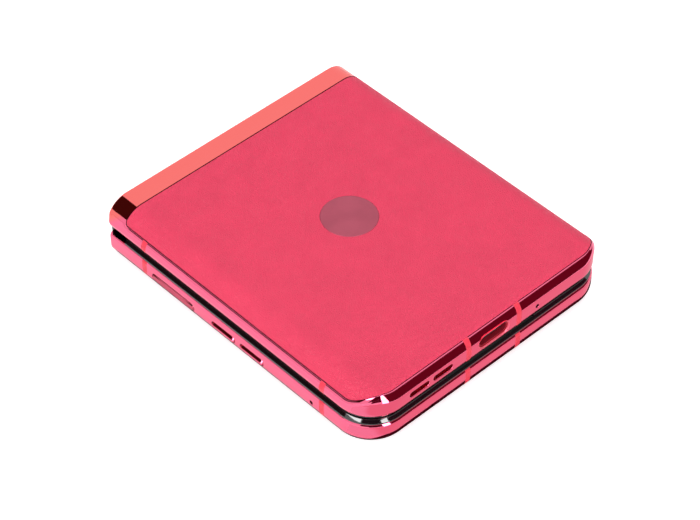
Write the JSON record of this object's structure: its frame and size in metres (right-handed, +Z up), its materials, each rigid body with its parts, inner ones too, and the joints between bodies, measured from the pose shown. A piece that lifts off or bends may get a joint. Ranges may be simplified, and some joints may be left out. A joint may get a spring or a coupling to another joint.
{
  "type": "flip phone",
  "caption": "Clamshell folding phone, closed: leather-backed base half over a flip half with outer display, joined by a twin-axis hinge.",
  "frame": {"origin": "under the middle of the closed phone, on the surface it lies on", "axes": "+X along the hinge towards the SIM tray side, +Y from the socket edge to the hinge, +Z up from the outer display to the leather back"},
  "size_m": [0.0743, 0.088, 0.0153],
  "materials": {
    "frame_metal": "polished, pink anodised",
    "band_plastic": "satin",
    "leather": "fine grained",
    "inlay": "spun, glossy",
    "cover_glass": "polished black",
    "display": "glossy film",
    "bezel": "glossy",
    "black_plastic": "moulded",
    "key_metal": "anodised",
    "sensor_cap": "satin",
    "steel": "machined",
    "spine_metal": "dark polished",
    "carrier_metal": "bead blasted",
    "battery_foil": "matt laminate",
    "board": "solder mask",
    "shield": "stamped",
    "copper": "enamelled copper winding",
    "magnet": "nickel plated",
    "lens_glass": "coated",
    "flash": "clear ribbed"
  },
  "bodies": {
    "flip_half": {"flip_frame": "frame_metal", "flip_antenna_bands": "band_plastic", "outer_display_glass": "cover_glass", "outer_display_panel": "display", "camera_rings": "frame_metal", "camera_windows": "lens_glass", "camera_modules": "black_plastic", "flash_lens": "flash", "flip_carrier_plate": "carrier_metal", "inner_display_flip": "display", "flip_bezel": "bezel", "display_fold_flip": "display", "flip_swing_arms": "steel", "main_board": "board", "board_shields": "shield", "flip_screws": "steel", "flip_battery": "battery_foil", "inner_camera": "black_plastic", "earpiece_speaker": "black_plastic", "flip_magnets": "magnet", "flip_microphones": "shield", "sim_reader": "shield", "key_switches": "shield", "key_strip": "black_plastic"},
    "base_half": {"base_frame": "frame_metal", "base_antenna_bands": "band_plastic", "leather_cover": "leather", "round_inlay": "inlay", "cover_plate": "black_plastic", "base_carrier_plate": "carrier_metal", "inner_display_base": "display", "base_bezel": "bezel", "display_fold_base": "display", "base_swing_arms": "steel", "charging_coil": "copper", "base_battery": "battery_foil", "lower_board": "board", "base_screws": "steel", "usb_socket": "shield", "usb_contact_blade": "black_plastic", "loudspeaker": "black_plastic", "speaker_mesh": "steel", "vibration_motor": "shield", "base_microphone": "shield", "base_magnets": "magnet"},
    "hinge_spine": {"spine_cover": "spine_metal", "hinge_brackets": "steel", "spine_screws": "steel"},
    "sync_gear_flip": {"sync_gear_flip": "steel"},
    "sync_gear_base": {"sync_gear_base": "steel"},
    "flip_wing": {"flip_wing_plate": "steel"},
    "base_wing": {"base_wing_plate": "steel"},
    "power_key": {"power_key": "sensor_cap"},
    "volume_up_key": {"volume_up_key": "key_metal"},
    "volume_down_key": {"volume_down_key": "key_metal"},
    "sim_tray": {"sim_tray": "key_metal"}
  },
  "joints": [
    {"name": "hinge_flip", "type": "hinge", "parent": "flip_half", "child": "hinge_spine", "pos_m": [0, 0.03939, 0.00538], "axis": [-1, 0, 0], "range_deg": [0, 90], "deforming": ["display_fold_flip"]},
    {"name": "hinge_base", "type": "hinge", "parent": "hinge_spine", "child": "base_half", "pos_m": [0, 0.03939, 0.00994], "axis": [-1, 0, 0], "range_deg": [0, 90], "deforming": ["display_fold_base"]},
    {"name": "sync_gear_flip_turn", "type": "hinge", "parent": "hinge_spine", "child": "sync_gear_flip", "pos_m": [0, 0.0421, 0.00666], "axis": [-1, 0, 0], "range_deg": [0, 180]},
    {"name": "sync_gear_base_turn", "type": "hinge", "parent": "hinge_spine", "child": "sync_gear_base", "pos_m": [0, 0.0421, 0.00866], "axis": [-1, 0, 0], "range_deg": [-180, 0]},
    {"name": "flip_wing_tilt", "type": "hinge", "parent": "flip_half", "child": "flip_wing", "pos_m": [0, 0.03105, 0.00657], "axis": [1, 0, 0], "range_deg": [0, 4.88]},
    {"name": "base_wing_tilt", "type": "hinge", "parent": "base_half", "child": "base_wing", "pos_m": [0, 0.03105, 0.00875], "axis": [-1, 0, 0], "range_deg": [0, 4.88]},
    {"name": "power_key_press", "type": "slide", "parent": "flip_half", "child": "power_key", "axis": [1, 0, 0], "range_m": [0, 0.00025], "stiffness_N_per_m": 1500},
    {"name": "volume_up_press", "type": "slide", "parent": "flip_half", "child": "volume_up_key", "axis": [1, 0, 0], "range_m": [0, 0.00025], "stiffness_N_per_m": 1500},
    {"name": "volume_down_press", "type": "slide", "parent": "flip_half", "child": "volume_down_key", "axis": [1, 0, 0], "range_m": [0, 0.00025], "stiffness_N_per_m": 1500},
    {"name": "sim_tray_slide", "type": "slide", "parent": "flip_half", "child": "sim_tray", "axis": [1, 0, 0], "range_m": [0, 0.018]}
  ],
  "couplings": [
    {"joint": "hinge_base", "follows": "hinge_flip", "ratio": 1},
    {"joint": "sync_gear_flip_turn", "follows": "hinge_flip", "ratio": 2},
    {"joint": "sync_gear_base_turn", "follows": "hinge_flip", "ratio": -2},
    {"joint": "flip_wing_tilt", "follows": "hinge_flip", "ratio": 0.05426},
    {"joint": "base_wing_tilt", "follows": "hinge_flip", "ratio": 0.05426}
  ]
}
